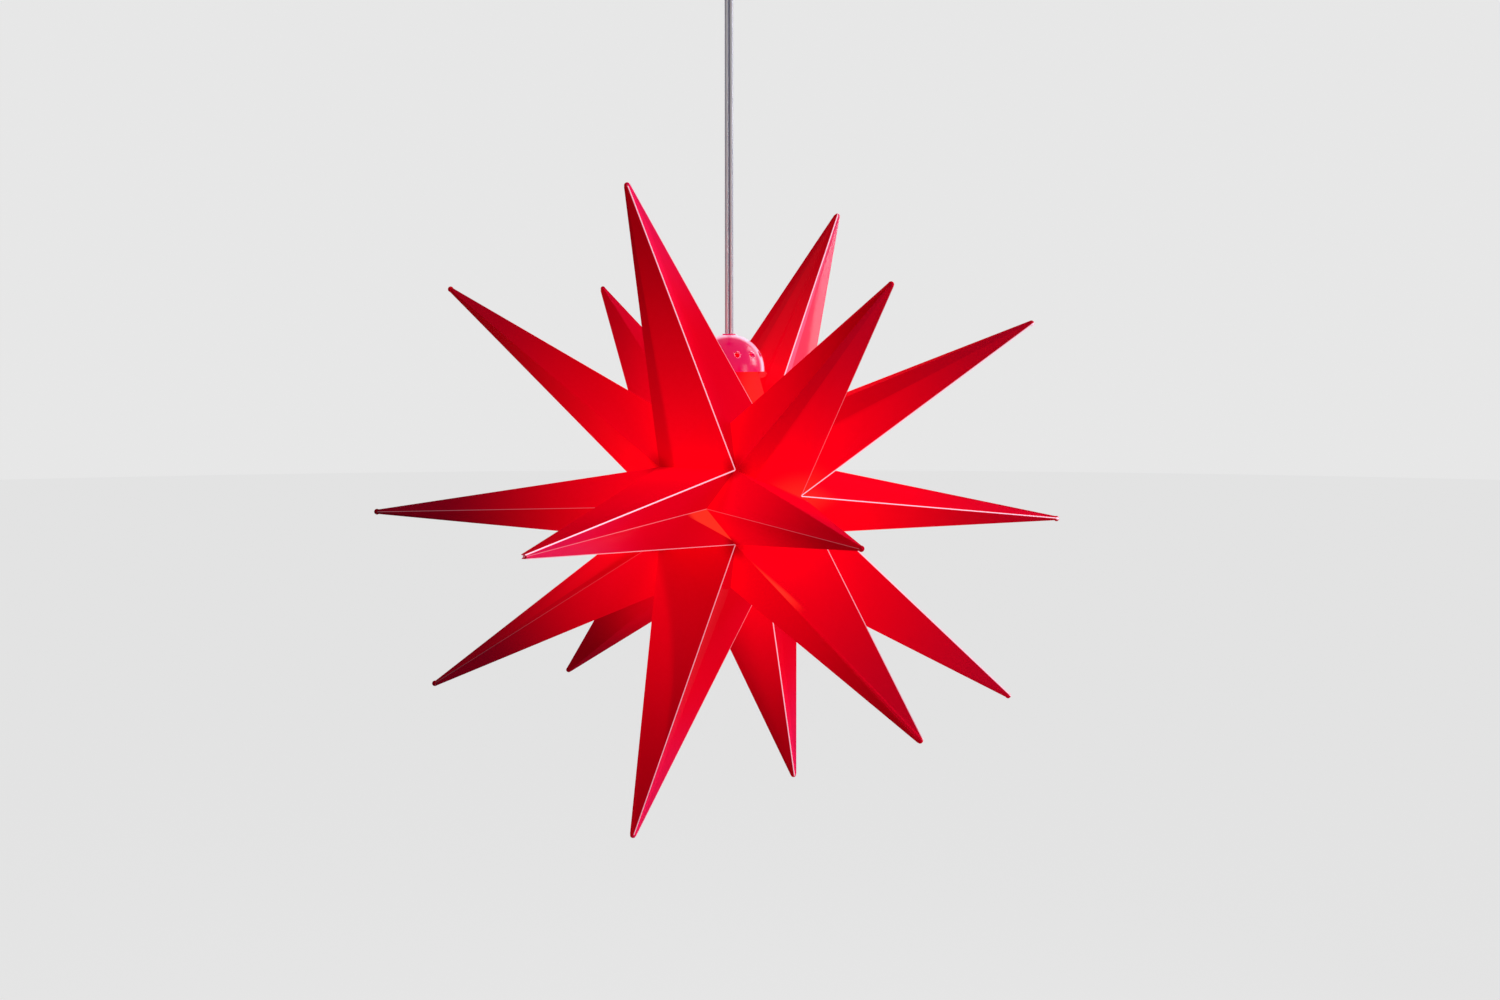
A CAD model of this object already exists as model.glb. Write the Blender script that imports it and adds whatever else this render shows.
"""Dresses the hanging lit star: folded sheet, clear cap, lamp, cord, ceiling fitting and the studio."""

import math

import bpy
from mathutils import Matrix, Vector


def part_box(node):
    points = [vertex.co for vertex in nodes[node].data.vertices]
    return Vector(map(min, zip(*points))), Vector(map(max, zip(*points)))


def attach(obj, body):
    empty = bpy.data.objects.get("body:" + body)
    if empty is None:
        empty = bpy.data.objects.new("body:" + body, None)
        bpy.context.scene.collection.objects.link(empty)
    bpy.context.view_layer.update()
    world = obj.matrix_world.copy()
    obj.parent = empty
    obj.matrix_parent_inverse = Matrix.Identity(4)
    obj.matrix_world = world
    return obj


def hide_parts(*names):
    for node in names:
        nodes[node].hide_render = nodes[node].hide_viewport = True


bl_info = {
    "name": "Hanging lit star",
    "version": (1, 0, 0),
    "blender": (4, 5, 0),
    "location": "View3D > Sidebar > Star",
    "description": "Dresses a folded star with its lamp, cap, cord and ceiling fitting",
    "category": "Object",
}

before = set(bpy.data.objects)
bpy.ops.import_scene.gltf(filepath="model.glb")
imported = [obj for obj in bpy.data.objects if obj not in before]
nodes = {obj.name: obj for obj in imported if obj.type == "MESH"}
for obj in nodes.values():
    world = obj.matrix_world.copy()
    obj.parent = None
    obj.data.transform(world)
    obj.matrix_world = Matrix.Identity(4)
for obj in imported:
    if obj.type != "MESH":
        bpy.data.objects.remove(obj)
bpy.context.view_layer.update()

# Layout of the star, in metres and degrees, as the solids have it
STAR_CENTRE = Vector((0.0, 0.0, -0.370))
APEX_RADIUS = 0.208
SIDE_LATITUDE = 47.0
CORE_RADIUS = 0.0415
CORE_HALF = 0.0245
POLE_REACH = 0.0465
POLE_LIFT = 0.0045
FOLD_RADIUS = 0.053
FOLD_HALF = 0.016
RING_STEP = 60.0
SLOT_NAMES = ("upper_front", "front", "lower_front", "lower_back", "back", "upper_back")
ROWS = {"belt": 0, "right": 1, "left": -1}

# Lean of each point along its ring and away from the belt, in degrees, and how well it carries the
# lamp's light
POINTS = {
    "belt_upper_front": (-1, -2, 1.0),
    "belt_front": (4, -1, 1.0),
    "belt_lower_front": (2, -2, 1.0),
    "belt_lower_back": (-2.5, -2, 1.0),
    "belt_back": (-3, 0, 1.0),
    "belt_upper_back": (-3, 4, 1.0),
    "right_upper_front": (2.5, -3, 1.0),
    "right_front": (3.5, 1.5, 0.9),
    "right_lower_front": (0.5, 2, 1.0),
    "right_lower_back": (8, -4, 1.0),
    "right_back": (-6, 1, 0.9),
    "right_upper_back": (-7.5, 3, 0.9),
    "left_upper_front": (2.5, -3, 0.8),
    "left_front": (1, 1, 0.0),
    "left_lower_front": (-9.5, 0, 0.0),
    "left_lower_back": (-4, 2, 0.3),
    "left_back": (0, 0, 0.5),
    "left_upper_back": (-2, -4, 1.0),
}

# Closing flaps: the facet that a flap lies on, the end of that facet's base that it starts from, its
# share of the width, its taper along the point, and the softness of its edge
FLAPS = {
    "belt_upper_front": (2, 1, 0.20, 0.0, 0.02),
    "belt_lower_front": (5, 1, 1.15, 1.38, 0.14),
    "belt_upper_back": (2, 1, 0.34, 0.0, 0.02),
    "belt_lower_back": (5, 0, 0.60, 0.0, 0.60),
    "belt_back": (2, 1, 0.25, 0.0, 0.02),
    "right_upper_front": (3, 0, 0.30, 0.0, 0.02),
    "right_upper_back": (3, 0, 0.36, 0.0, 0.02),
    "left_lower_front": (0, 1, 0.25, 0.0, 0.02),
    "left_back": (3, 0, 0.30, 0.0, 0.02),
}
NO_FLAP = (None, 0, -1.0, 0.0, 0.02)

# Slits that show the lamp: the facet, the end of its base that a slit starts from, its share of the
# width, its growth along the point, and where it stops
SLITS = {
    "belt_front": (1, 0, 0.90, -7.0, 0.12),
    "right_lower_front": (0, 1, -0.03, 0.52, 0.36),
}
NO_SLIT = (None, 0, -1.0, 0.0, 0.0)

# Creases that have whitened: the base corner that a crease runs from, and how white it is; the
# fainter a crease, the narrower, down to a least share of its width
CREASES = {
    "belt_upper_front": {0: 0.40, 2: 0.8},
    "belt_front": {0: 1.0, 1: 0.20, 2: 0.5},
    "belt_lower_front": {0: 0.6, 2: 0.35},
    "belt_lower_back": {0: 0.8},
    "belt_back": {0: 0.6, 3: 0.6},
    "belt_upper_back": {2: 1.0},
    "right_upper_front": {0: 0.25},
    "right_front": {2: 0.12},
    "right_lower_front": {0: 0.6},
    "right_lower_back": {0: 1.0},
    "right_back": {0: 1.0},
    "right_upper_back": {0: 0.9},
    "left_front": {2: 0.16},
    "left_lower_front": {1: 0.08},
    "left_back": {0: 0.5, 2: 0.2},
    "left_upper_back": {0: 0.2},
}
LEAST_CREASE = 0.25

# Facets that shine: their share of gloss, and the share of the others
GLOSS = {
    "belt_upper_back": {0: 0.15, 1: 0.35},
    "belt_lower_front": {0: 0.05},
}
PLAIN_GLOSS = 0.008

# Facets that are paler all over, as if bleached: their share of that colour
BLEACHED = {"belt_upper_back": {0: 0.45, 1: 1.0}}

# Share of a belt point's paleness that the points on the two sides have
SIDE_PALE = 0.4

# What each face of a folded point carries
FACE_MARKS = {
    "flap": "FLOAT_VECTOR",
    "slit": "FLOAT_VECTOR",
    "crease": "FLOAT_VECTOR",
    "span": "FLOAT_VECTOR",
    "gloss": "FLOAT",
    "carry": "FLOAT",
    "pale": "FLOAT",
    "bleach": "FLOAT",
}

# Along a point, as shares of its length: where the glow ends, how much further a good carrier takes
# it, where the sheet is doubled or single, where a point that carries no light goes deep and by how
# much, and a place just past the tip that keeps widths there above zero
GLOW_END = 0.75
GLOW_FURTHER = 0.15
DOUBLED_SPAN = (0.30, 1.0)
SINGLE_SPAN = (0.0, 0.7)
UNLIT_SPAN = (0.3, 0.9)
UNLIT_SHARE = 0.6
PAST_TIP = 1.001

# Soft edges of flaps and slits, as shares of a facet's width, and a slit's heat
FLAP_START = -0.025
SLIT_EDGE = 0.06
SLIT_END = 0.35
SLIT_HEAT = 0.9

# Distances in metres over which a stacked corner's shade and the poles' heat fade, the light left in
# a corner, the heat at a pole, and the depth of the sheet's clouds
CORNER_SPAN = (0.002, 0.011)
CORNER_LIGHT = 0.45
POLE_SPAN = (0.004, 0.028)
POLE_HEAT = 0.50
CLOUD_DEPTH = 0.12

# Neck: heights between which its glow falls, and the warm stretch of its right side, in metres
NECK_SPAN = (-0.330, -0.294)
NECK_GLOW = (0.80, 0.68)
WARM_SPAN = (0.011, 0.018)
WARM_SHARE = 0.8
RIVET_GLOW = 0.6

# Where the cap's edge and the neck's gloss begin, from 0 facing the eye to 1 edge on
RIM_SPAN = (0.50, 0.72)
NECK_GLOSS_SPAN = (0.75, 0.95)
NECK_GLOSS = 0.5

# Cord: steps round a core, and the edge and colour of the wire in it
CORE_STEPS = 14
WIRE_SPAN = (0.0003, 0.0008)
WIRE_COLOR = (0.95, 0.96, 1.0, 1.0)

# Plain finishes: how far plastic and metal fade in their mottle, and the noise that it spans
PLASTIC_FADE = 0.98
METAL_FADE = 0.92
MOTTLE_SPAN = (0.30, 0.70)

# Angles under which faces are shaded as one surface
FOLD_ANGLE = math.radians(25.0)
ROUND_ANGLE = math.radians(30.0)
CORD_ANGLE = math.radians(35.0)

# Loose triangles: the gap in metres under which corners join, the angle under which faces merge
JOIN_GAP = 0.00001
FLAT_ANGLE = math.radians(0.3)

# Studio: where each light hangs from the star's centre, its width, height and power
LIGHTS = {
    "back_right": ((1.06, 0.72, 0.52), 0.45, 0.45, 2.9),
    "right": ((1.30, -0.15, -0.05), 0.35, 0.9, 1.85),
    "top_back": ((0.58, 0.84, 0.78), 0.5, 0.5, 1.6),
    "left_top": ((-0.85, -0.35, 1.05), 0.6, 0.6, 1.8),
}
LIGHT_SPREAD = math.radians(110.0)
CAMERA_SLIDE = (0.01185, 0.0006, 0.0)
SENSOR_WIDTH = 36.0
FLOOR_RADIUS = 9.0
FLOOR_SIDES = 96
EVEN_SHARE = 0.8
SEEN_RAYS = ("Is Camera Ray", "Is Glossy Ray", "Is Transmission Ray")

BLACK = (0.0, 0.0, 0.0, 1.0)
WHITE = (1.0, 1.0, 1.0, 1.0)
BACKDROP = (0.80, 0.80, 0.80, 1.0)


class StarSheetSettings(bpy.types.PropertyGroup):
    """Colour, glow and folds of the star's sheet."""

    sheet_color: bpy.props.FloatVectorProperty(
        name="Sheet colour", description="Colour of the sheet by daylight", subtype="COLOR", size=4,
        default=(0.70, 0.0, 0.012, 1.0), min=0.0, max=1.0)
    deep_color: bpy.props.FloatVectorProperty(
        name="Deep colour", description="Colour of the sheet by daylight where it lets most light through",
        subtype="COLOR", size=4, default=(0.17, 0.0, 0.014, 1.0), min=0.0, max=1.0)
    tip_color: bpy.props.FloatVectorProperty(
        name="Tip colour", description="Colour of the sheet by daylight where it is doubled at a tip",
        subtype="COLOR", size=4, default=(0.96, 0.013, 0.130, 1.0), min=0.0, max=1.0)
    bleached_color: bpy.props.FloatVectorProperty(
        name="Bleached colour",
        description="Colour of the sheet where a whole facet is paler, as if bleached",
        subtype="COLOR", size=4, default=(0.88, 0.13, 0.29, 1.0), min=0.0, max=1.0)
    crease_color: bpy.props.FloatVectorProperty(
        name="Crease colour", description="Colour of the sheet where a sharp fold has whitened it",
        subtype="COLOR", size=4, default=(0.80, 0.48, 0.60, 1.0), min=0.0, max=1.0)
    glow_color: bpy.props.FloatVectorProperty(
        name="Glow", description="Colour of the lamp's light through the sheet", subtype="COLOR", size=4,
        default=(1.0, 0.0, 0.008, 1.0), min=0.0, max=1.0)
    lamp_color: bpy.props.FloatVectorProperty(
        name="Lamp glow", description="Colour of the sheet close to the lamp", subtype="COLOR", size=4,
        default=(1.0, 0.035, 0.016, 1.0), min=0.0, max=1.0)
    near_glow: bpy.props.FloatProperty(
        name="Near glow", description="Strength of the glow at the root of a point", subtype="FACTOR",
        default=0.64, min=0.0, max=1.0)
    tip_glow: bpy.props.FloatProperty(
        name="Tip glow", description="Strength of the glow at the tip of a point", subtype="FACTOR",
        default=0.13, min=0.0, max=1.0)
    flap_shade: bpy.props.FloatProperty(
        name="Flap shade", description="Share of the glow that a closing flap takes away", subtype="FACTOR",
        default=0.42, min=0.0, max=1.0)
    crease_width: bpy.props.FloatProperty(
        name="Crease width", description="Width of the whitened sheet on each side of a crease",
        subtype="DISTANCE", unit="LENGTH", default=0.0006, min=0.0001, max=0.003)


class ClearSettings(bpy.types.PropertyGroup):
    """Clear cap and cord."""

    cap_color: bpy.props.FloatVectorProperty(
        name="Cap colour", description="Tint of the clear cap over the glowing neck", subtype="COLOR",
        size=4, default=(0.42, 0.0, 0.06, 1.0), min=0.0, max=1.0)
    cap_glow: bpy.props.FloatVectorProperty(
        name="Cap glow", description="Red light that the cap catches from the star", subtype="COLOR",
        size=4, default=(0.50, 0.0, 0.06, 1.0), min=0.0, max=1.0)
    rim_color: bpy.props.FloatVectorProperty(
        name="Rim colour", description="Colour of the clear cap where it is seen edge on", subtype="COLOR",
        size=4, default=(0.95, 0.70, 0.85, 1.0), min=0.0, max=1.0)
    rim_glow: bpy.props.FloatVectorProperty(
        name="Rim glow", description="Light that the clear cap carries to its edge", subtype="COLOR",
        size=4, default=(0.45, 0.12, 0.25, 1.0), min=0.0, max=1.0)
    cord_color: bpy.props.FloatVectorProperty(
        name="Cord colour", description="Colour of the clear cord over its wires", subtype="COLOR",
        size=4, default=(0.40, 0.41, 0.55, 1.0), min=0.0, max=1.0)
    core_radius: bpy.props.FloatProperty(
        name="Core radius", description="Radius of one of the cord's two cores", subtype="DISTANCE",
        unit="LENGTH", default=0.00125, min=0.0005, max=0.005)
    core_spacing: bpy.props.FloatProperty(
        name="Core spacing", description="Distance between the cord's two cores", subtype="DISTANCE",
        unit="LENGTH", default=0.0023, min=0.001, max=0.01)
    cord_turn: bpy.props.FloatProperty(
        name="Cord turn", description="Turn of the flat cord about its length", subtype="ANGLE",
        unit="ROTATION", default=math.radians(29.0))


class StageSettings(bpy.types.PropertyGroup):
    """Floor, lights and camera."""

    floor_color: bpy.props.FloatVectorProperty(
        name="Floor colour", description="Colour of the pale floor", subtype="COLOR", size=4,
        default=(0.60, 0.60, 0.60, 1.0), min=0.0, max=1.0)
    far_color: bpy.props.FloatVectorProperty(
        name="Far colour", description="Even colour that the camera sees most of on the floor",
        subtype="COLOR", size=4, default=(0.94, 0.94, 0.94, 1.0), min=0.0, max=1.0)
    floor_height: bpy.props.FloatProperty(
        name="Floor height", description="Height of the floor under the hanging star", subtype="DISTANCE",
        unit="LENGTH", default=-0.95)
    world_strength: bpy.props.FloatProperty(
        name="World strength", description="Strength of the soft light from all round",
        default=0.13, min=0.0, max=5.0)
    camera_azimuth: bpy.props.FloatProperty(
        name="Camera azimuth", description="Camera angle round the star", subtype="ANGLE",
        unit="ROTATION", default=math.radians(29.2))
    camera_elevation: bpy.props.FloatProperty(
        name="Camera elevation", description="Camera angle above the star", subtype="ANGLE",
        unit="ROTATION", default=math.radians(4.6))
    camera_distance: bpy.props.FloatProperty(
        name="Camera distance", description="Camera distance from the star's centre", subtype="DISTANCE",
        unit="LENGTH", default=1.2203)
    camera_lens: bpy.props.FloatProperty(
        name="Lens", description="Focal length on a 36 mm wide sensor", unit="CAMERA", default=51.3)


# Shader maths
class Value:
    """A socket of a finish that Python's operators turn into Math nodes."""

    def __init__(self, finish, socket):
        self.finish = finish
        self.socket = socket

    def math(self, operation, first, second=None):
        inputs = {0: first} if second is None else {0: first, 1: second}
        return self.finish.node("ShaderNodeMath", {"operation": operation}, inputs)

    def __add__(self, other):
        return self.math("ADD", self, other)

    def __radd__(self, other):
        return self.math("ADD", other, self)

    def __sub__(self, other):
        return self.math("SUBTRACT", self, other)

    def __rsub__(self, other):
        return self.math("SUBTRACT", other, self)

    def __mul__(self, other):
        return self.math("MULTIPLY", self, other)

    def __rmul__(self, other):
        return self.math("MULTIPLY", other, self)

    def __truediv__(self, other):
        return self.math("DIVIDE", self, other)

    def __rtruediv__(self, other):
        return self.math("DIVIDE", other, self)

    def __abs__(self):
        return self.math("ABSOLUTE", self)

    def clamp(self):
        """Kept between 0 and 1."""
        return self.finish.node("ShaderNodeClamp", {}, {"Value": self})


class Finish:
    """Nodes of one material or world."""

    def __init__(self, name, kind="materials"):
        self.owner = getattr(bpy.data, kind).new(name)
        self.owner.use_nodes = True
        self.tree = self.owner.node_tree
        self.tree.nodes.clear()

    def node(self, kind, settings, inputs, output=0):
        """Add a node, with its settings first, and return one of its outputs."""
        made = self.tree.nodes.new(kind)
        for name, value in settings.items():
            setattr(made, name, value)
        for name, value in inputs.items():
            if isinstance(value, Value):
                self.tree.links.new(value.socket, made.inputs[name])
            else:
                made.inputs[name].default_value = value
        return Value(self, made.outputs[output]) if made.outputs else None

    def place(self):
        """Object coordinates of the surface."""
        return self.node("ShaderNodeTexCoord", {}, {}, "Object")

    def facing(self):
        """0 where the surface faces the eye, 1 where it is seen edge on."""
        return self.node("ShaderNodeLayerWeight", {}, {"Blend": 0.5}, "Facing")

    def seen(self):
        """1 for what the camera, gloss or clear plastic shows, 0 for what only lights."""
        share = 0.0
        for name in SEEN_RAYS:
            ray = self.node("ShaderNodeLightPath", {}, {}, name)
            share = self.node("ShaderNodeMath", {"operation": "MAXIMUM"}, {0: ray, 1: share})
        return share

    def noise(self, scale, detail):
        """Even clouds of one size in the piece's own space."""
        inputs = {"Vector": self.place(), "Scale": scale, "Detail": detail}
        return self.node("ShaderNodeTexNoise", {}, inputs, "Fac")

    def blend(self, share, first, second):
        """Colour between two colours."""
        settings = {"data_type": "RGBA"}
        return self.node("ShaderNodeMix", settings, {"Factor": share, 6: first, 7: second}, 2)

    def ramp(self, value, low, high, start=0.0, end=1.0):
        """Value eased from start to end between a low and a high limit."""
        inputs = {"Value": value, "From Min": low, "From Max": high, "To Min": start, "To Max": end}
        return self.node("ShaderNodeMapRange", {"interpolation_type": "SMOOTHSTEP"}, inputs)

    def attribute(self, name):
        """Number that a face carries."""
        return self.node("ShaderNodeAttribute", {"attribute_name": name}, {}, "Fac")

    def marks(self, name):
        """Three numbers that a face carries."""
        return self.parts(self.node("ShaderNodeAttribute", {"attribute_name": name}, {}, "Vector"))

    def parts(self, vector):
        """The three numbers of a vector."""
        first = self.node("ShaderNodeSeparateXYZ", {}, {0: vector})
        return [Value(self, socket) for socket in first.socket.node.outputs]

    def size(self, *numbers):
        """Length of a vector of three numbers."""
        vector = self.node("ShaderNodeCombineXYZ", {}, dict(enumerate(numbers)))
        return self.node("ShaderNodeVectorMath", {"operation": "LENGTH"}, {0: vector}, "Value")

    def done(self, inputs):
        """Finish with one main shader."""
        return self.close(self.node("ShaderNodeBsdfPrincipled", {}, inputs))

    def close(self, shader, output="ShaderNodeOutputMaterial"):
        """Finish with a shader, and return the material or world."""
        self.node(output, {}, {"Surface": shader})
        return self.owner


def sheet_finish(settings):
    """Glowing red sheet: bright at the root of a point, dim at its tip, shaded by flaps and corners."""
    finish = Finish("glowing_sheet")
    along_axis, toward_back, height = finish.parts(finish.place())
    rise = height - STAR_CENTRE.z
    across, along, _ = finish.parts(finish.node("ShaderNodeUVMap", {"uv_map": "fold"}, {}))
    share = across / (PAST_TIP - along)

    # Glow that falls along a point and that a flap shades
    carry = finish.attribute("carry")
    fall = finish.ramp(along, 0.0, GLOW_END + carry * GLOW_FURTHER)
    level = settings.near_glow - (settings.near_glow - carry * settings.tip_glow) * fall
    flap_width, taper, softness = finish.marks("flap")
    flap = finish.ramp(flap_width * (1.0 - along * taper) - share, FLAP_START, softness)
    level = level * (1.0 - flap * settings.flap_shade)

    # Shade of the corners where sheets are stacked, and the sheet's own clouds
    radius = finish.size(0.0, toward_back, rise)
    turn = finish.node("ShaderNodeMath", {"operation": "ARCTAN2"}, {0: toward_back, 1: rise})
    steps = turn / math.radians(RING_STEP)
    off_corner = finish.node("ShaderNodeMath", {"operation": "PINGPONG"}, {0: steps, 1: 0.5})
    round_ring = off_corner * math.radians(RING_STEP) * CORE_RADIUS
    corner = finish.size(abs(along_axis) - CORE_HALF, radius - CORE_RADIUS, round_ring)
    level = level * finish.ramp(corner, *CORNER_SPAN, CORNER_LIGHT, 1.0)
    cloud = finish.noise(scale=22.0, detail=3.0)
    level = level * (1.0 - CLOUD_DEPTH / 2 + cloud * CLOUD_DEPTH)

    # Heat of the lamp at the poles and in the slits
    slit_width, growth, stop = finish.marks("slit")
    open_share = finish.ramp(slit_width + growth * along - share, 0.0, SLIT_EDGE)
    leak = open_share * finish.ramp(1.0 - along / stop, 0.0, SLIT_END)
    near_pole = finish.size(abs(along_axis) - POLE_REACH, toward_back, rise)
    hot = finish.ramp(near_pole, *POLE_SPAN, POLE_HEAT, 0.0) + leak * SLIT_HEAT

    # Whitened lines along the two creases of a facet
    first_span, second_span, _ = finish.marks("span")
    first_white, second_white, _ = finish.marks("crease")
    first_gap = across * first_span / (LEAST_CREASE + first_white)
    second_gap = (1.0 - along - across) * second_span / (LEAST_CREASE + second_white)
    edges = (settings.crease_width / 2, settings.crease_width, 1.0, 0.0)
    line = finish.ramp(first_gap, *edges) * first_white + finish.ramp(second_gap, *edges) * second_white
    line = line.clamp()

    # Colour by daylight: paler where doubled, deeper where single or unlit, bleached on a few facets
    pale = finish.attribute("pale")
    doubled = finish.ramp(along, *DOUBLED_SPAN) * pale
    single = finish.ramp(along, *SINGLE_SPAN, 1.0, 0.0) * pale
    unlit = finish.ramp(along, *UNLIT_SPAN, 0.0, UNLIT_SHARE) * (1.0 - carry)
    base = finish.blend(doubled, tuple(settings.sheet_color), tuple(settings.tip_color))
    base = finish.blend((single + unlit).clamp(), base, tuple(settings.deep_color))
    base = finish.blend(finish.attribute("bleach"), base, tuple(settings.bleached_color))

    color = finish.blend(level.clamp(), BLACK, tuple(settings.glow_color))
    color = finish.blend(hot.clamp(), color, tuple(settings.lamp_color))
    return finish.done({
        "Base Color": finish.blend(line, base, tuple(settings.crease_color)),
        "Roughness": 0.30 + cloud * 0.08,
        "IOR": 1.0,
        "Coat Weight": finish.attribute("gloss"),
        "Coat Roughness": 0.14,
        "Coat IOR": 1.6,
        "Emission Color": finish.blend(line, color, tuple(settings.crease_color)),
        "Emission Strength": 1.0,
    })


def neck_finish(settings):
    """Glowing neck, warm on its right side, with gloss only where it is seen edge on."""
    finish = Finish("glowing_neck")
    side, _, height = finish.parts(finish.place())
    level = finish.ramp(height, *NECK_SPAN, *NECK_GLOW)
    warm = finish.ramp(side, *WARM_SPAN, 0.0, WARM_SHARE)
    lit = finish.blend(warm, tuple(settings.glow_color), tuple(settings.lamp_color))
    return finish.done({
        "Base Color": tuple(settings.sheet_color),
        "Roughness": 0.3,
        "IOR": 1.0,
        "Coat Weight": finish.ramp(finish.facing(), *NECK_GLOSS_SPAN) * NECK_GLOSS,
        "Coat Roughness": 0.12,
        "Emission Color": finish.blend(level, BLACK, lit),
        "Emission Strength": 1.0,
    })


def cap_finish(settings):
    """Clear cap: red from the star within, and pale at its edge."""
    finish = Finish("clear_cap")
    body = finish.node("ShaderNodeBsdfPrincipled", {}, {
        "Base Color": tuple(settings.cap_color),
        "Roughness": 0.22,
        "Specular IOR Level": 0.25,
        "Emission Color": tuple(settings.cap_glow),
        "Emission Strength": 1.0,
    })
    edge = finish.node("ShaderNodeBsdfPrincipled", {}, {
        "Base Color": tuple(settings.rim_color),
        "Roughness": 0.1,
        "Coat Weight": 0.5,
        "Emission Color": tuple(settings.rim_glow),
        "Emission Strength": 1.0,
    })
    rim = finish.ramp(finish.facing(), *RIM_SPAN)
    return finish.close(finish.node("ShaderNodeMixShader", {}, {0: rim, 1: body, 2: edge}))


def cord_finish(settings):
    """Clear flex: two bright wires behind a glossy, slightly milky cover."""
    finish = Finish("clear_flex")
    turned = finish.node("ShaderNodeMapping", {"vector_type": "TEXTURE"}, {
        "Vector": finish.place(), "Rotation": (0.0, 0.0, settings.cord_turn)})
    across, _, _ = finish.parts(turned)
    off_core = abs(abs(across) - settings.core_spacing / 2)
    wire = finish.ramp(off_core, *WIRE_SPAN, 1.0, 0.0)
    return finish.done({
        "Base Color": finish.blend(wire, tuple(settings.cord_color), WIRE_COLOR),
        "Roughness": 0.22,
        "Coat Weight": 1.0,
        "Coat Roughness": 0.08,
    })


def plain_finish(name, color, roughness, metallic=0.0, grain=0.0):
    """Plain finish with a faint mottle in its colour and gloss, and a fine moulded or cast skin."""
    finish = Finish(name)
    mottle = finish.noise(scale=180.0, detail=2.0)
    skin = finish.noise(scale=1400.0, detail=2.0)
    fade = METAL_FADE if metallic else PLASTIC_FADE
    dull = (*[fade * part for part in color[:3]], 1.0)
    return finish.done({
        "Base Color": finish.blend(finish.ramp(mottle, *MOTTLE_SPAN), dull, color),
        "Roughness": roughness + (mottle - 0.5) * grain,
        "Metallic": metallic,
        "Normal": finish.node("ShaderNodeBump", {}, {"Strength": 0.05, "Distance": 0.0001, "Height": skin}),
    })


# Where the star's corners and tips are
def ring_place(radius, angle, along):
    turn = math.radians(angle)
    return STAR_CENTRE + Vector((along, -radius * math.sin(turn), radius * math.cos(turn)))


def core_corner(side, slot):
    return ring_place(CORE_RADIUS, RING_STEP * slot, side * CORE_HALF)


def base_corners(row, slot):
    """Corners of a point's base, in order round it, with the folds among them."""
    middle = RING_STEP * (slot + 0.5)
    fold = {side: ring_place(FOLD_RADIUS, middle, side * FOLD_HALF) for side in (1, -1)}
    if row == 0:
        right = [core_corner(1, slot), fold[1], core_corner(1, slot + 1)]
        return right + [core_corner(-1, slot + 1), fold[-1], core_corner(-1, slot)]
    pole = STAR_CENTRE + Vector((row * POLE_REACH, 0.0, row * POLE_LIFT))
    return [pole, core_corner(row, slot), fold[row], core_corner(row, slot + 1)]


def apex_place(row, slot, along_ring, off_belt):
    latitude = math.radians(row * SIDE_LATITUDE + (row or 1) * off_belt)
    angle = RING_STEP * (slot + 0.5) + along_ring
    return ring_place(APEX_RADIUS * math.cos(latitude), angle, APEX_RADIUS * math.sin(latitude))


def point_facets(corners, apex):
    """Two base corners and the outward normal of each facet of a point."""
    middle = sum(corners, Vector()) / len(corners)
    facets = []
    for first, second in zip(corners, corners[1:] + corners[:1]):
        normal = (second - first).cross(apex - first).normalized()
        if normal.dot(middle - first) > 0:
            normal = -normal
        facets.append((first, second, normal))
    return facets


def line_gap(place, start, end):
    """Distance of a place from a line."""
    along = (end - start).normalized()
    return ((place - start) - along * (place - start).dot(along)).length


def facet_shares(place, first, second, apex):
    """Shares of a facet's second base corner and of its apex at a place."""
    base, rise, offset = second - first, apex - first, place - first
    base_base, base_rise, rise_rise = base.dot(base), base.dot(rise), rise.dot(rise)
    off_base, off_rise = offset.dot(base), offset.dot(rise)
    scale = base_base * rise_rise - base_rise * base_rise
    across = (rise_rise * off_base - base_rise * off_rise) / scale
    along = (base_base * off_rise - base_rise * off_base) / scale
    return across, along


# Work on pieces
def only(piece):
    """Select one piece alone and make it active."""
    bpy.ops.object.select_all(action="DESELECT")
    piece.select_set(True)
    bpy.context.view_layer.objects.active = piece


def copied_node(node, name, angle):
    """Copy of a solid's mesh, with its loose triangles joined and shaded smooth under an angle."""
    piece = bpy.data.objects.new(name, nodes[node].data.copy())
    piece.data.materials.clear()
    bpy.context.scene.collection.objects.link(piece)
    only(piece)
    bpy.ops.object.mode_set(mode="EDIT")
    bpy.ops.mesh.select_all(action="SELECT")
    bpy.ops.mesh.remove_doubles(threshold=JOIN_GAP)
    bpy.ops.mesh.dissolve_limited(angle_limit=FLAT_ANGLE)
    bpy.ops.mesh.select_all(action="DESELECT")
    bpy.ops.object.mode_set(mode="OBJECT")
    bpy.ops.object.shade_smooth_by_angle(angle=angle)
    return piece


def dress(node, material):
    """Give a solid its finish."""
    nodes[node].data.materials.clear()
    nodes[node].data.materials.append(material)


def new_marks(mesh):
    """Empty fold map and face marks of a mesh."""
    while mesh.uv_layers:
        mesh.uv_layers.remove(mesh.uv_layers[0])
    mesh.uv_layers.new(name="fold")
    for mark, kind in FACE_MARKS.items():
        mesh.attributes.new(mark, kind, "FACE")
    return mesh.uv_layers["fold"].data, {mark: mesh.attributes[mark].data for mark in FACE_MARKS}


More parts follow.
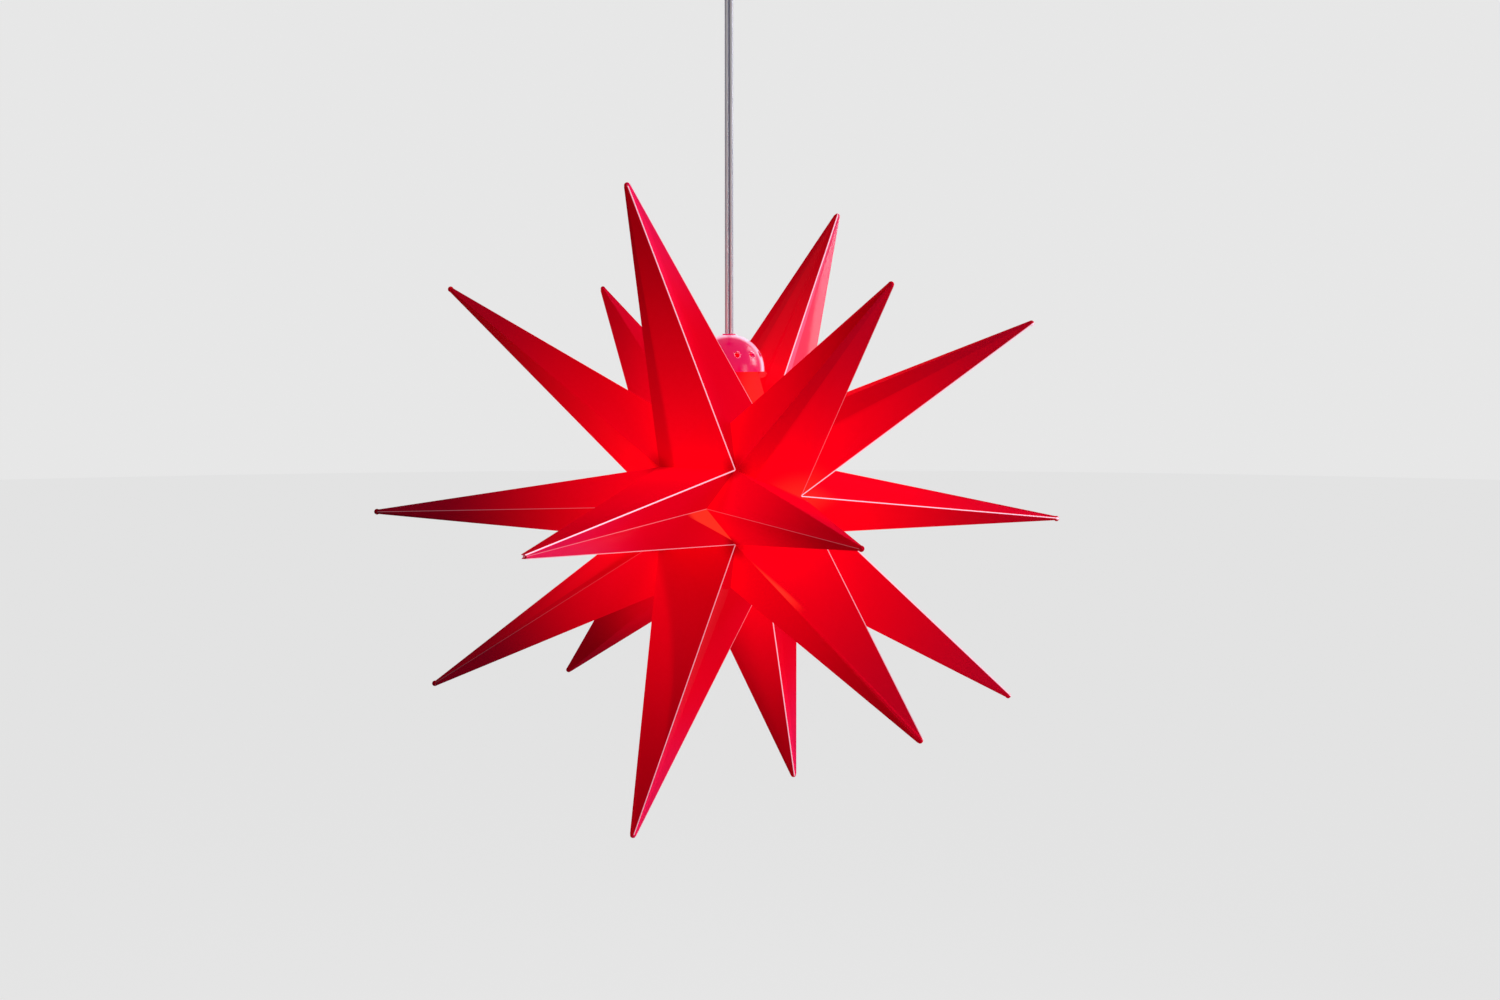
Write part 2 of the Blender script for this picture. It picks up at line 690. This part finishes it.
def mark_folds(piece, name, corners, apex):
    """Write where each face lies on its facet, and that facet's flap, slit, creases and finish."""
    mesh = piece.data
    carry = POINTS[name][2]
    whites, gloss, bleach = CREASES.get(name, {}), GLOSS.get(name, {}), BLEACHED.get(name, {})
    pale_share = 1.0 if name.startswith("belt") else SIDE_PALE
    flap_facet, flap_end, *flap = FLAPS.get(name, NO_FLAP)
    slit_facet, slit_end, *slit = SLITS.get(name, NO_SLIT)
    facets = point_facets(corners, apex)
    fold, marks = new_marks(mesh)
    for polygon in mesh.polygons:
        alike = [normal.dot(polygon.normal) for _, _, normal in facets]
        index = alike.index(max(alike))
        first, second, normal = facets[index]
        white = [whites.get(index, 0.0), whites.get((index + 1) % len(corners), 0.0)]
        if (index == flap_facet and flap_end) or (index == slit_facet and slit_end):
            first, second = second, first
            white.reverse()
        span = [line_gap(second, first, apex), line_gap(first, second, apex)]
        marks["carry"][polygon.index].value = carry
        marks["gloss"][polygon.index].value = gloss.get(index, PLAIN_GLOSS)
        marks["bleach"][polygon.index].value = bleach.get(index, 0.0)
        marks["pale"][polygon.index].value = max(0.0, normal.x) * pale_share
        marks["flap"][polygon.index].vector = flap if index == flap_facet else NO_FLAP[2:]
        marks["slit"][polygon.index].vector = slit if index == slit_facet else NO_SLIT[2:]
        marks["crease"][polygon.index].vector = (*white, 0.0)
        marks["span"][polygon.index].vector = (*span, 0.0)
        for loop in polygon.loop_indices:
            place = mesh.vertices[mesh.loops[loop].vertex_index].co
            fold[loop].uv = facet_shares(place, first, second, apex)


class STAR_OT_points(bpy.types.Operator):
    """Fold the star's points from glowing sheet, with flaps, slits and whitened creases"""

    bl_idname = "star.points"
    bl_label = "Points"

    def execute(self, context):
        material = sheet_finish(context.scene.star_sheet)
        for name, (along_ring, off_belt, _) in POINTS.items():
            row_name, slot_name = name.split("_", 1)
            row, slot = ROWS[row_name], SLOT_NAMES.index(slot_name)
            corners = base_corners(row, slot)
            apex = apex_place(row, slot, along_ring, off_belt)
            piece = copied_node("point_" + name, "folded_" + name, FOLD_ANGLE)
            mark_folds(piece, name, corners, apex)
            piece.data.materials.append(material)
            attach(piece, "star")
            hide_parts("point_" + name)
        return {"FINISHED"}


class STAR_OT_neck(bpy.types.Operator):
    """Finish the neck and the rivets that hold the star together"""

    bl_idname = "star.neck"
    bl_label = "Neck and rivets"

    def execute(self, context):
        settings = context.scene.star_sheet
        piece = copied_node("neck", "moulded_neck", ROUND_ANGLE)
        piece.data.materials.append(neck_finish(settings))
        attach(piece, "star")
        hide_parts("neck")
        rivets = Finish("rivet_plastic").done({
            "Base Color": tuple(settings.sheet_color),
            "Roughness": 0.4,
            "Specular IOR Level": 0.1,
            "Emission Color": tuple(settings.glow_color),
            "Emission Strength": settings.near_glow * RIVET_GLOW,
        })
        dress("seam_rivets", rivets)
        dress("neck_rivets", rivets)
        return {"FINISHED"}


class STAR_OT_cap(bpy.types.Operator):
    """Finish the clear cap and the cord grip in its top"""

    bl_idname = "star.cap"
    bl_label = "Clear cap"

    def execute(self, context):
        material = cap_finish(context.scene.star_clear)
        piece = copied_node("cap_dome", "clear_dome", ROUND_ANGLE)
        piece.data.materials.append(material)
        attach(piece, "pendant")
        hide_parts("cap_dome")
        dress("cord_grip", material)
        return {"FINISHED"}


class STAR_OT_lamp(bpy.types.Operator):
    """Finish the lamp, its socket and their small metal pieces"""

    bl_idname = "star.lamp"
    bl_label = "Lamp and socket"

    def execute(self, context):
        white = plain_finish("white_plastic", (0.80, 0.80, 0.78, 1.0), 0.45, grain=0.12)
        for node in ("holder_plate", "socket_stem", "lamp_socket", "lamp_base"):
            dress(node, white)
        brass = plain_finish("contact_brass", (0.78, 0.58, 0.28, 1.0), 0.3, metallic=1.0, grain=0.1)
        for node in ("socket_contacts", "lamp_pins"):
            dress(node, brass)
        column = plain_finish("lamp_column", (0.8, 0.8, 0.8, 1.0), 0.4, metallic=1.0, grain=0.1)
        dress("led_column", column)
        dress("lead_wires", plain_finish("wire_cover", (0.7, 0.7, 0.68, 1.0), 0.5, grain=0.1))
        dress("led_chips", Finish("light_chips").done({
            "Base Color": (1.0, 0.8, 0.4, 1.0),
            "Emission Color": (1.0, 0.25, 0.06, 1.0),
            "Emission Strength": 1.5,
        }))
        dress("lamp_diffuser", Finish("lamp_cover").done({
            "Base Color": (0.95, 0.93, 0.9, 1.0),
            "Roughness": 0.5,
            "Transmission Weight": 0.7,
            "IOR": 1.3,
        }))
        return {"FINISHED"}


def cord_outline(radius, spacing, turn):
    """Outline of the flat cord's two joined cores, in order round it."""
    half = spacing / 2
    groove = math.acos(half / radius)
    outline = []
    for side in (1, -1):
        for step in range(CORE_STEPS + 1):
            angle = (2 * step / CORE_STEPS - 1) * (math.pi - groove)
            across, deep = half + radius * math.cos(angle), radius * math.sin(angle)
            outline.append(Matrix.Rotation(turn, 3, "Z") @ Vector((side * across, side * deep, 0.0)))
    return outline


def cord_path(top, foot):
    """Points on the cord's smooth line."""
    route = bpy.data.curves.new("cord_route", "CURVE")
    route.dimensions = "3D"
    spline = route.splines.new("NURBS")
    spline.points.add(2)
    for point, place in zip(spline.points, (top, (top + foot) / 2, foot)):
        point.co = (*place, 1.0)
    spline.order_u = 3
    spline.use_endpoint_u = True
    holder = bpy.data.objects.new("cord_route", route)
    line = bpy.data.meshes.new_from_object(holder)
    path = [vertex.co.copy() for vertex in line.vertices]
    bpy.data.objects.remove(holder)
    return path


class STAR_OT_cord(bpy.types.Operator):
    """Run the clear flat cord straight from its anchor to the lamp holder"""

    bl_idname = "star.cord"
    bl_label = "Cord"

    def execute(self, context):
        settings = context.scene.star_clear
        low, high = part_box("cord")
        top, foot = Vector((0.0, 0.0, high[2])), Vector((0.0, 0.0, low[2]))
        path = cord_path(top, foot)
        outline = cord_outline(settings.core_radius, settings.core_spacing, settings.cord_turn)
        bpy.ops.object.select_all(action="DESELECT")
        bpy.ops.mesh.primitive_circle_add(
            vertices=len(outline), radius=settings.core_spacing, fill_type="NGON", calc_uvs=False)
        piece = context.active_object
        piece.name = "clear_cord"
        for vertex, place in zip(piece.data.vertices, outline):
            vertex.co = place + top
        bpy.ops.object.mode_set(mode="EDIT")
        bpy.ops.mesh.select_all(action="SELECT")
        bpy.ops.mesh.extrude_region_move(TRANSFORM_OT_translate={"value": foot - top})
        bpy.ops.mesh.select_all(action="SELECT")
        bpy.ops.mesh.normals_make_consistent(inside=False)
        bpy.ops.object.mode_set(mode="OBJECT")
        bpy.ops.object.shade_smooth_by_angle(angle=CORD_ANGLE)
        piece.data.materials.append(cord_finish(settings))
        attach(piece, "pendant")
        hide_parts("cord")
        return {"FINISHED"}


class STAR_OT_ceiling(bpy.types.Operator):
    """Finish the ceiling cup and the hook, ring and anchor inside it"""

    bl_idname = "star.ceiling"
    bl_label = "Ceiling fitting"

    def execute(self, context):
        white = plain_finish("cup_plastic", (0.82, 0.82, 0.80, 1.0), 0.38, grain=0.1)
        for node in ("ceiling_cup", "cup_bush", "terminal_block"):
            dress(node, white)
        zinc = plain_finish("zinc_steel", (0.62, 0.63, 0.65, 1.0), 0.32, metallic=1.0, grain=0.15)
        for node in ("ceiling_bracket", "ceiling_hook", "hanger_ring", "cord_anchor", "anchor_clamp"):
            dress(node, zinc)
        for node in ("stem_nut", "anchor_screws", "holder_screws", "cup_screws", "terminal_screws"):
            dress(node, zinc)
        return {"FINISHED"}


def floor_finish(settings):
    """Pale floor that the camera sees nearly even, with the star's soft shadow, and clear from below."""
    finish = Finish("pale_floor")
    lit = finish.node("ShaderNodeBsdfDiffuse", {}, {"Color": tuple(settings.floor_color)})
    even = finish.node("ShaderNodeEmission", {}, {"Color": tuple(settings.far_color), "Strength": 1.0})
    top = finish.node("ShaderNodeMixShader", {}, {0: finish.seen() * EVEN_SHARE, 1: lit, 2: even})
    below = finish.node("ShaderNodeNewGeometry", {}, {}, "Backfacing")
    clear = finish.node("ShaderNodeBsdfTransparent", {}, {})
    return finish.close(finish.node("ShaderNodeMixShader", {}, {0: below, 1: top, 2: clear}))


def studio_world(strength):
    """Soft light from all round, with a pale background for the camera, gloss and clear plastic."""
    finish = Finish("studio", "worlds")
    soft = finish.node("ShaderNodeBackground", {}, {"Color": WHITE, "Strength": strength})
    pale = finish.node("ShaderNodeBackground", {}, {"Color": BACKDROP, "Strength": 1.0})
    choice = finish.node("ShaderNodeMixShader", {}, {0: finish.seen(), 1: soft, 2: pale})
    return finish.close(choice, "ShaderNodeOutputWorld")


def set_up(data, place, turn):
    """Put a light or the camera in its place."""
    holder = bpy.data.objects.new(data.name, data)
    holder.location = place
    holder.rotation_mode = "QUATERNION"
    holder.rotation_quaternion = turn
    bpy.context.scene.collection.objects.link(holder)
    return holder


class STAR_OT_stage(bpy.types.Operator):
    """Lay the pale floor, hang the soft lights and set the camera"""

    bl_idname = "star.stage"
    bl_label = "Stage"

    def execute(self, context):
        scene = context.scene
        settings = scene.star_stage
        scene.view_settings.view_transform = "Standard"
        scene.world = studio_world(settings.world_strength)
        bpy.ops.object.select_all(action="DESELECT")
        bpy.ops.mesh.primitive_circle_add(
            vertices=FLOOR_SIDES, radius=FLOOR_RADIUS, fill_type="NGON",
            location=(0.0, 0.0, settings.floor_height))
        floor = context.active_object
        floor.name = "floor"
        floor.data.materials.append(floor_finish(settings))
        for name, (place, width, height, power) in LIGHTS.items():
            light = bpy.data.lights.new(name + "_light", "AREA")
            light.shape = "RECTANGLE"
            light.size = width
            light.size_y = height
            light.spread = LIGHT_SPREAD
            light.energy = power
            way = Vector(place)
            holder = set_up(light, STAR_CENTRE + way, (-way).to_track_quat("-Z", "Y"))
            holder.visible_camera = False
        azimuth, elevation = settings.camera_azimuth, settings.camera_elevation
        level = math.cos(elevation)
        back = Vector((math.sin(azimuth) * level, -math.cos(azimuth) * level, math.sin(elevation)))
        turn = (-back).to_track_quat("-Z", "Y")
        camera = bpy.data.cameras.new("camera")
        camera.sensor_width = SENSOR_WIDTH
        camera.lens = settings.camera_lens
        place = STAR_CENTRE + back * settings.camera_distance + turn @ Vector(CAMERA_SLIDE)
        scene.camera = set_up(camera, place, turn)
        return {"FINISHED"}


class STAR_PT_sidebar(bpy.types.Panel):
    """Lists the star's steps and settings"""

    bl_idname = "STAR_PT_sidebar"
    bl_label = "Hanging lit star"
    bl_space_type = "VIEW_3D"
    bl_region_type = "UI"
    bl_category = "Star"

    def draw(self, context):
        layout = self.layout
        for operator in OPERATORS:
            layout.operator(operator.bl_idname)
        for group in GROUPS:
            settings = getattr(context.scene, group)
            box = layout.box()
            for name in settings.__annotations__:
                box.prop(settings, name)


OPERATORS = (
    STAR_OT_points, STAR_OT_neck, STAR_OT_cap, STAR_OT_lamp, STAR_OT_cord, STAR_OT_ceiling, STAR_OT_stage,
)
GROUPS = {"star_sheet": StarSheetSettings, "star_clear": ClearSettings, "star_stage": StageSettings}


def register():
    for group in GROUPS.values():
        bpy.utils.register_class(group)
    for operator in OPERATORS:
        bpy.utils.register_class(operator)
    bpy.utils.register_class(STAR_PT_sidebar)
    for name, group in GROUPS.items():
        setattr(bpy.types.Scene, name, bpy.props.PointerProperty(type=group))


def unregister():
    for name in GROUPS:
        delattr(bpy.types.Scene, name)
    bpy.utils.unregister_class(STAR_PT_sidebar)
    for operator in reversed(OPERATORS):
        bpy.utils.unregister_class(operator)
    for group in reversed(GROUPS.values()):
        bpy.utils.unregister_class(group)


def main():
    register()
    bpy.ops.star.points()
    bpy.ops.star.neck()
    bpy.ops.star.cap()
    bpy.ops.star.lamp()
    bpy.ops.star.cord()
    bpy.ops.star.ceiling()
    bpy.ops.star.stage()


if __name__ == "__main__":
    main()
